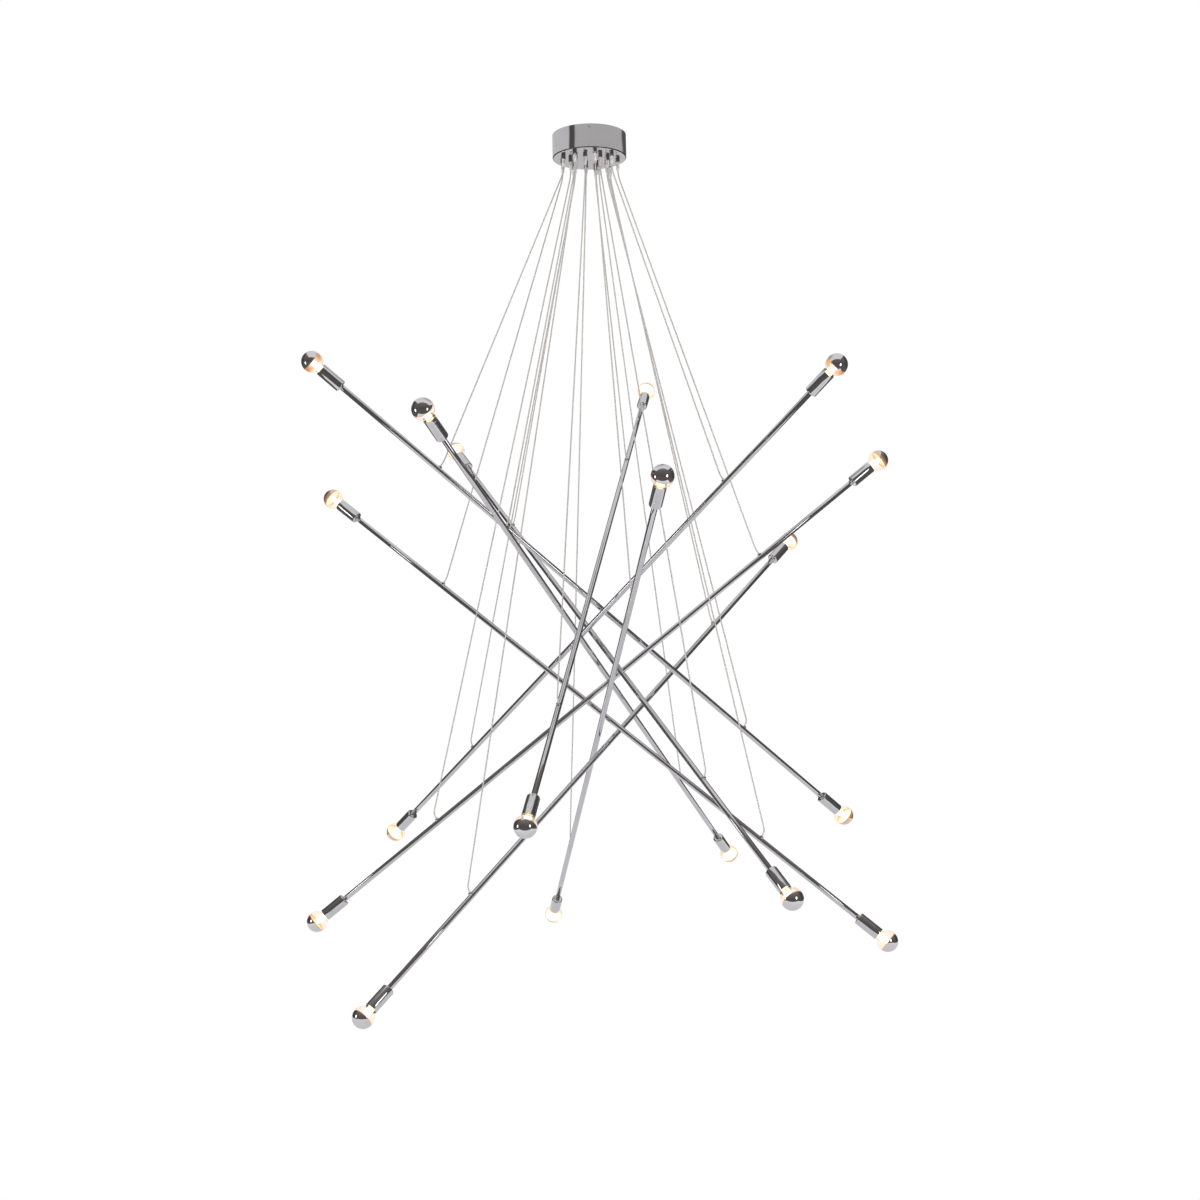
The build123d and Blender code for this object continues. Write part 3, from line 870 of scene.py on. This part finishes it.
def glassShape():  # the envelope: silvered over the crown, clear over the rest, open at the cap
    reach = lamp["globe"] + lamp["neckCurve"]
    wide = lamp["neck"] + lamp["neckCurve"]
    curveAt = math.sqrt(reach ** 2 - wide ** 2)
    turn = math.degrees(math.atan2(curveAt, wide))
    edge = math.degrees(math.asin(lamp["crownEdge"] / lamp["globe"]))
    crownSteps, clearSteps, curveSteps = 26, 14, 8

    def skin(wall):
        globe = lamp["globe"] - wall
        points = [(0, -globe)] + arc((0, 0), globe, -90, edge, crownSteps)[1:]
        points += arc((0, 0), globe, edge, turn, clearSteps)[1:]
        points += arc((wide, curveAt), lamp["neckCurve"] + wall, turn + 180, 180, curveSteps)[1:]
        return points + [(lamp["neck"] - wall, curveAt + lamp["neckStraight"])]

    clear = clearSteps + curveSteps + 1
    finishes = [0] * crownSteps + [1] * (2 * clear + 1) + [2] * crownSteps
    return turned(skin(0) + skin(lamp["wall"])[::-1], 56, finishes)


def glowShape():  # the light round the filament, pear-shaped, from the globe's middle into the neck
    radius, at = lamp["glow"], lamp["glowAt"]
    return turned([(0, at - radius)] + arc((0, at), radius, -90, 20, 16)[1:] + lamp["glowNeck"], 40, 3)


def capShape():
    start, shell, end, sealEnd = lamp["capStart"], lamp["capShell"], lamp["capEnd"], lamp["sealEnd"]
    outline = [(0, start), (lamp["neck"], start), (lamp["neck"], start + lamp["capLip"]),
               (lamp["capSkirt"], start + lamp["capLip"] + lamp["capSlope"]), (lamp["capRadius"], shell)]
    low, high = shell + lamp["threadFrom"], end - lamp["threadShort"]
    outline += threadRows(lamp["capRadius"], lamp["capRoot"], low, high, lamp["pitch"])
    outline += [(lamp["capRoot"], end)]
    metal = len(outline) - 1
    contact, edge, bend, tipEnd = lamp["contact"], lamp["contactEdge"], lamp["contactRound"], lamp["end"]
    outline += [(lamp["sealRadius"], end + lamp["sealSlope"]), (contact + edge, sealEnd)]
    seal = len(outline) - 1 - metal
    outline += [(contact, sealEnd + edge), (contact, tipEnd - bend)]
    outline += [(contact - bend * (1 - math.cos(t)), tipEnd - bend * (1 - math.sin(t)))
                for t in (0.5, 1.0, math.pi / 2)]
    outline += [(0, tipEnd)]
    tip = len(outline) - 1 - metal - seal
    return turned(outline, 40, [4] * metal + [5] * seal + [4] * tip, sharp=60)


lampFinishes = [mirrorFinish(), glassFinish(), crownInsideFinish(), glowFinish(), capNickel, sealGlass]

cord = {
    "radius": 0.0015,
    "start": 0.067,  # below the ceiling, up in the grip
    "bendBelow": 0.088,
    "bendAbove": 0.019,
    "afterGrip": 0.031,  # where the straight run starts, past the bend under the grip
    "beforeTube": 0.019,
    "strandPitch": 120,  # turns of the strands over a cord's length
    "strands": 5,
    "gap": (0.42, 0.39, 0.37, 1),
    "strand": (0.74, 0.71, 0.68, 1),
}


def cordFinish():  # tinned strands twisted under a clear sheath
    material, tree, shader = newFinish("clearCord", {
        "Metallic": 0.0, "Coat Weight": 1.0, "Coat Roughness": 0.08, "Specular IOR Level": 0.6})
    spot = addNode(tree, "ShaderNodeSeparateXYZ", {0: addNode(tree, "ShaderNodeTexCoord").outputs["UV"]})
    twist = calc(tree, "ADD", calc(tree, "MULTIPLY", spot.outputs["X"], cord["strandPitch"]),
                 calc(tree, "MULTIPLY", spot.outputs["Y"], cord["strands"]))
    ridge = step(tree, calc(tree, "SINE", calc(tree, "MULTIPLY", twist, math.tau)), -0.8, 0.9)
    tree.links.new(mixed(tree, ridge, cord["gap"], cord["strand"]), shader.inputs["Base Color"])
    tree.links.new(calc(tree, "ADD", 0.3, calc(tree, "MULTIPLY", ridge, 0.15)), shader.inputs["Roughness"])
    bump = addNode(tree, "ShaderNodeBump", {"Height": ridge, "Strength": 0.4, "Distance": 5e-5})
    tree.links.new(bump.outputs[0], shader.inputs["Normal"])
    return material


clearCord = cordFinish()


# Straight down out of the grip, tight to a point over the ferrule, then square into the tube.
def cordRoute(hang, side):
    ring = rings["outerRing"] if side > 0 else -rings["innerRing"]
    under = levelOf(hang) * ring
    entry = middleOf(hang) + tubeLine(hang) * side * tube["cordEntry"]
    start = under - Vector((0, 0, cord["start"]))
    bend = under - Vector((0, 0, cord["bendBelow"]))
    last = entry + squareUp(hang) * cord["bendAbove"]
    run = (last - bend).normalized()
    return [start, bend, bend + run * cord["afterGrip"], last - run * cord["beforeTube"], last, entry]


def cordPiece(number, hang, side, end):
    route = cordRoute(hang, side)
    curve = bpy.data.curves.new(f"cord{end}{number}", "CURVE")
    curve.dimensions = "3D"
    curve.bevel_depth = cord["radius"]
    curve.bevel_resolution = 3
    curve.resolution_u = 10
    curve.use_fill_caps = True
    spline = curve.splines.new("NURBS")
    spline.points.add(len(route) - 1)
    for point, place in zip(spline.points, route):
        point.co = (*place, 1)
    spline.order_u = 3
    spline.use_endpoint_u = True
    curve.materials.append(clearCord)
    piece = added(f"cord{end}{number}", curve)
    fitted(piece, f"hanging_tube_{number}", "clear_cord", f"cords_{number}")
    return piece


shapes = {"pipe": pipeShape(), "ferrule": ferruleShape(), "stub": stubShape(), "cup": cupShape(),
          "holder": holderShape()}
lampShapes = [glassShape(), glowShape(), capShape()]
onItsSide = Matrix.Rotation(math.radians(90), 4, "Y")
ferruleTurns = [Matrix.Translation((0, 0, side * tube["cordEntry"])) @ onItsSide for side in (1, -1)]
stubTurns = [atRest, Matrix.Rotation(math.pi, 4, "X")]
sides = (("High", 1), ("Low", -1))


def marked(piece, hang, side):  # how much light shows through a lamp's silvering, and whether it gets the painted amber glow
    back = ((tubeLine(hang) * side).y - lamp["shineFrom"]) / (lamp["shineFull"] - lamp["shineFrom"])
    getsPaintedAmber = side > 0 and -0.6 < tubeLine(hang).y < 0
    for label, value in (("shine", min(1, max(0, back))), ("amber", float(getsPaintedAmber))):
        piece.data.attributes.new(label, "FLOAT", "POINT")
        piece.data.attributes[label].data.foreach_set("value", [value] * len(piece.data.vertices))
    return piece


for number, hang in enumerate(hangs, 1):
    body, place = f"hanging_tube_{number}", tubePlace(hang)
    parts = [(shapes["pipe"], place)]
    parts += [(shapes["ferrule"], place @ turn) for turn in ferruleTurns]
    parts += [(shapes["stub"], place @ turn) for turn in stubTurns]
    fitted(assembled(f"tube{number}", parts, [chromeTube]), body, "chrome_tube", f"rod_{number}")
    ends = [endPlace(hang, side) for end, side in sides]
    cups = assembled(f"cups{number}", [(shapes["cup"], at) for at in ends], [chromeCups])
    fitted(cups, body, "chrome_cups", f"sleeves_{number}")
    holders = assembled(f"lampholders{number}", [(shapes["holder"], at) for at in ends],
                        [blackBakelite, linerBrass])
    fitted(holders, body, "black_bakelite", f"lampholders_{number}")
    for (end, side), at in zip(sides, ends):
        cordPiece(number, hang, side, end)
        whole = assembled(f"lamp{end}{number}", [(shape, at) for shape in lampShapes], lampFinishes)
        name = f"{number}_{end.lower()}"
        fitted(marked(whole, hang, side), f"lamp_{name}", "lamp_glass", f"bulb_{name}")
print("stage: tubes, cups, lamps and cords")

studio = {
    "floorAt": -3.1,
    "floorReach": 14.0,
    "sheetOnFloor": (0.8, 1.5),  # it fades into the white between these
    "dimFloor": (0.095, 0.087, 0.086, 1),
    "farStrip": (0.58, 0.565, 0.58, 1),
    "stripBehind": (1.0, 2.0),
    "stripAside": (1.6, 2.2),
    "boardReach": 0.95,
    "boardAt": 0.006,
    "boardFar": (0.68, 0.665, 0.68, 1),
    "bandsReach": (0.34, 0.42),
    "sheetReach": 1.5,
    "sheetMiddle": 0.1,
    "sheetAt": -1.96,
    "sheetFade": (1.96, 2.6),  # paler from its middle to its corners
}


def stageObject(name, shape, finish, forMetal=True):
    mesh = meshOf(shape, name)
    mesh.materials.append(finish)
    thing = added(name, mesh)
    if forMetal:  # only the metal sees it
        thing.visible_camera = False
        thing.visible_diffuse = False
        thing.visible_transmission = False
        thing.visible_shadow = False
    return thing


def stagePlane(name, reach, height, finish, middle=0.0, forMetal=True):
    shape = bmesh.new()
    place = Matrix.Translation((0, middle, height))
    bmesh.ops.create_grid(shape, x_segments=2, y_segments=2, size=reach, matrix=place)
    return stageObject(name, shape, finish, forMetal)


def emptyFinish(name):
    material = bpy.data.materials.new(name)
    material.use_nodes = True
    material.node_tree.nodes.clear()
    return material, material.node_tree


def emission(tree, colour, strength=1.0):
    return addNode(tree, "ShaderNodeEmission", {"Color": colour, "Strength": strength}).outputs[0]


def shown(tree, surface, kind="ShaderNodeOutputMaterial"):
    tree.links.new(surface, addNode(tree, kind).inputs["Surface"])


def seenPlainly(tree):  # 1 for rays that come straight from the camera or through glass
    path = addNode(tree, "ShaderNodeLightPath").outputs
    return calc(tree, "MAXIMUM", path["Is Camera Ray"], path["Is Transmission Ray"]), path["Is Glossy Ray"]


# White far off, as the background is, and near by a white sheet that takes the shadow. The metal sees it
# dim, with a pale strip far behind.
def floorFinish():
    material, tree = emptyFinish("paleFloor")
    plain, metalRay = seenPlainly(tree)
    place = objectPlace(tree)
    far = step(tree, lengthOf(tree, times(tree, place, (1, 1, 0))), *studio["sheetOnFloor"])
    behind = step(tree, axisOf(tree, place, "Y"), *studio["stripBehind"])
    aside = step(tree, calc(tree, "ABSOLUTE", axisOf(tree, place, "X")), *studio["stripAside"], 1.0, 0.0)
    strip = calc(tree, "MULTIPLY", behind, aside)
    reflected = emission(tree, mixed(tree, strip, studio["dimFloor"], studio["farStrip"]))
    sheet = addNode(tree, "ShaderNodeBsdfDiffuse", {"Color": (0.93, 0.93, 0.93, 1)}).outputs[0]
    seen = addNode(tree, "ShaderNodeMixShader", {0: far, 1: sheet, 2: emission(tree, (1, 1, 1, 1))})
    other = addNode(tree, "ShaderNodeMixShader", {0: metalRay, 1: sheet, 2: reflected})
    whole = addNode(tree, "ShaderNodeMixShader", {0: plain, 1: other.outputs[0], 2: seen.outputs[0]})
    shown(tree, whole.outputs[0])
    return material


def glowing(name, colourOf, strength=1.0):  # a bare emission finish, its colour made from the place
    material, tree = emptyFinish(name)
    shown(tree, emission(tree, colourOf(tree, objectPlace(tree)), strength))
    return material


# What the canopy's side shows, by the angle round it from the front, 120 degrees left to 120 right.
canopyBands = [
    (0.0, (0.50, 0.49, 0.50)), (0.14, (0.57, 0.565, 0.58)), (0.358, (0.56, 0.555, 0.57)),
    (0.368, (0.08, 0.075, 0.075)), (0.400, (0.085, 0.08, 0.08)), (0.410, (0.46, 0.445, 0.45)),
    (0.55, (0.45, 0.44, 0.45)), (0.76, (0.46, 0.45, 0.46)), (0.79, (0.10, 0.095, 0.095)),
    (0.88, (0.09, 0.085, 0.085)), (0.92, (0.45, 0.44, 0.45)),
]
bandsSpread = math.radians(240)


def boardColour(tree, place):  # near the canopy, the bands laid so that its round side shows them upright
    front = calc(tree, "MULTIPLY", axisOf(tree, place, "Y"), -1.0)
    turn = calc(tree, "ARCTAN2", axisOf(tree, place, "X"), front)
    reach = lengthOf(tree, place)
    spread = calc(tree, "SUBTRACT", 2.0, calc(tree, "DIVIDE", canopy["radius"], reach))
    angle = calc(tree, "DIVIDE", turn, spread)
    near = ramp(tree, calc(tree, "ADD", calc(tree, "DIVIDE", angle, bandsSpread), 0.5), canopyBands)
    return mixed(tree, step(tree, reach, *studio["bandsReach"]), near, studio["boardFar"])


def sheetColour(tree, place):
    tones = [(0.0, (0.61, 0.595, 0.62)), (1.0, (0.80, 0.775, 0.82))]
    return ramp(tree, step(tree, lengthOf(tree, place), *studio["sheetFade"]), tones)


stagePlane("floor", studio["floorReach"], studio["floorAt"], floorFinish(), forMetal=False)
stagePlane("ceilingBoard", studio["boardReach"], studio["boardAt"], glowing("ceilingBoard", boardColour))
stagePlane("paleSheet", studio["sheetReach"], studio["sheetAt"], glowing("paleSheet", sheetColour),
           studio["sheetMiddle"])

room = {
    "front": [  # from straight down to straight up
        (0.0, (0.095, 0.087, 0.086)), (0.50, (0.080, 0.073, 0.074)), (0.80, (0.12, 0.109, 0.106)),
        (1.0, (0.21, 0.19, 0.182))],
    "back": [  # from left to right, with a lit strip straight behind
        (0.0, (0.05, 0.05, 0.05)), (0.07, (0.06, 0.058, 0.06)), (0.27, (0.08, 0.075, 0.078)),
        (0.34, (0.40, 0.39, 0.40)), (0.46, (0.70, 0.69, 0.70)), (0.58, (0.50, 0.49, 0.50)),
        (0.68, (0.09, 0.088, 0.09)), (1.0, (0.05, 0.05, 0.05))],
    "high": (0.24, 0.225, 0.22, 1),
    "highFrom": (0.66, 0.80),
    "backFrom": (-0.05, 0.20),
    "diffuse": (0.62, 0.62, 0.62, 1),
}


# White behind the light. The metal sees a dark room with a lit strip straight behind.
def studioWorld():
    world = bpy.data.worlds.new("studio")
    bpy.context.scene.world = world
    world.use_nodes = True
    tree = world.node_tree
    tree.nodes.clear()
    plain, metalRay = seenPlainly(tree)
    direction = addNode(tree, "ShaderNodeTexCoord").outputs["Generated"]
    x, y, z = (axisOf(tree, direction, axis) for axis in "XYZ")
    half = [calc(tree, "ADD", calc(tree, "MULTIPLY", axis, 0.5), 0.5) for axis in (x, z)]
    behind = mixed(tree, step(tree, z, *room["highFrom"]), ramp(tree, half[0], room["back"]), room["high"])
    around = mixed(tree, step(tree, y, *room["backFrom"]), ramp(tree, half[1], room["front"]), behind)
    other = mixed(tree, metalRay, room["diffuse"], around)
    colour = mixed(tree, plain, other, (1, 1, 1, 1))
    background = addNode(tree, "ShaderNodeBackground", {"Color": colour, "Strength": 1.0})
    shown(tree, background.outputs[0], "ShaderNodeOutputWorld")


studioWorld()

softboxes = {
    "Left": {"place": (-3.0, -1.2, -1.2), "size": (0.6, 1.05), "power": 34},
    "Right": {"place": (1.8, -2.4, -1.0), "size": (0.6, 1.05), "power": 30},
}
softboxAim = (0, 0, -1.1)
softboxWhite = glowing("softboxWhite", lambda tree, place: (1, 1, 1, 1), 3.2)


def softbox(name, place, size, power):  # the metal sees its plain white face instead of the lamp
    light = bpy.data.lights.new(name, "AREA")
    light.shape = "ELLIPSE"
    light.size, light.size_y = size
    light.energy = power
    turn = (Vector(place) - Vector(softboxAim)).normalized().to_track_quat("Z", "Y")
    lampObject = added(name, light)
    lampObject.location = place
    lampObject.rotation_euler = turn.to_euler()
    lampObject.visible_camera = False
    lampObject.visible_glossy = False
    shape = bmesh.new()
    at = Matrix.Translation(place) @ turn.to_matrix().to_4x4()
    at = at @ Matrix.Diagonal((size[0] / 2, size[1] / 2, 1, 1))
    bmesh.ops.create_circle(shape, cap_ends=True, segments=40, radius=1, matrix=at)
    return stageObject(name + "Face", shape, softboxWhite)


for side, box in softboxes.items():
    softbox(f"softbox{side}", box["place"], box["size"], box["power"])

bpy.context.scene.view_settings.view_transform = "Standard"
print("stage: studio")
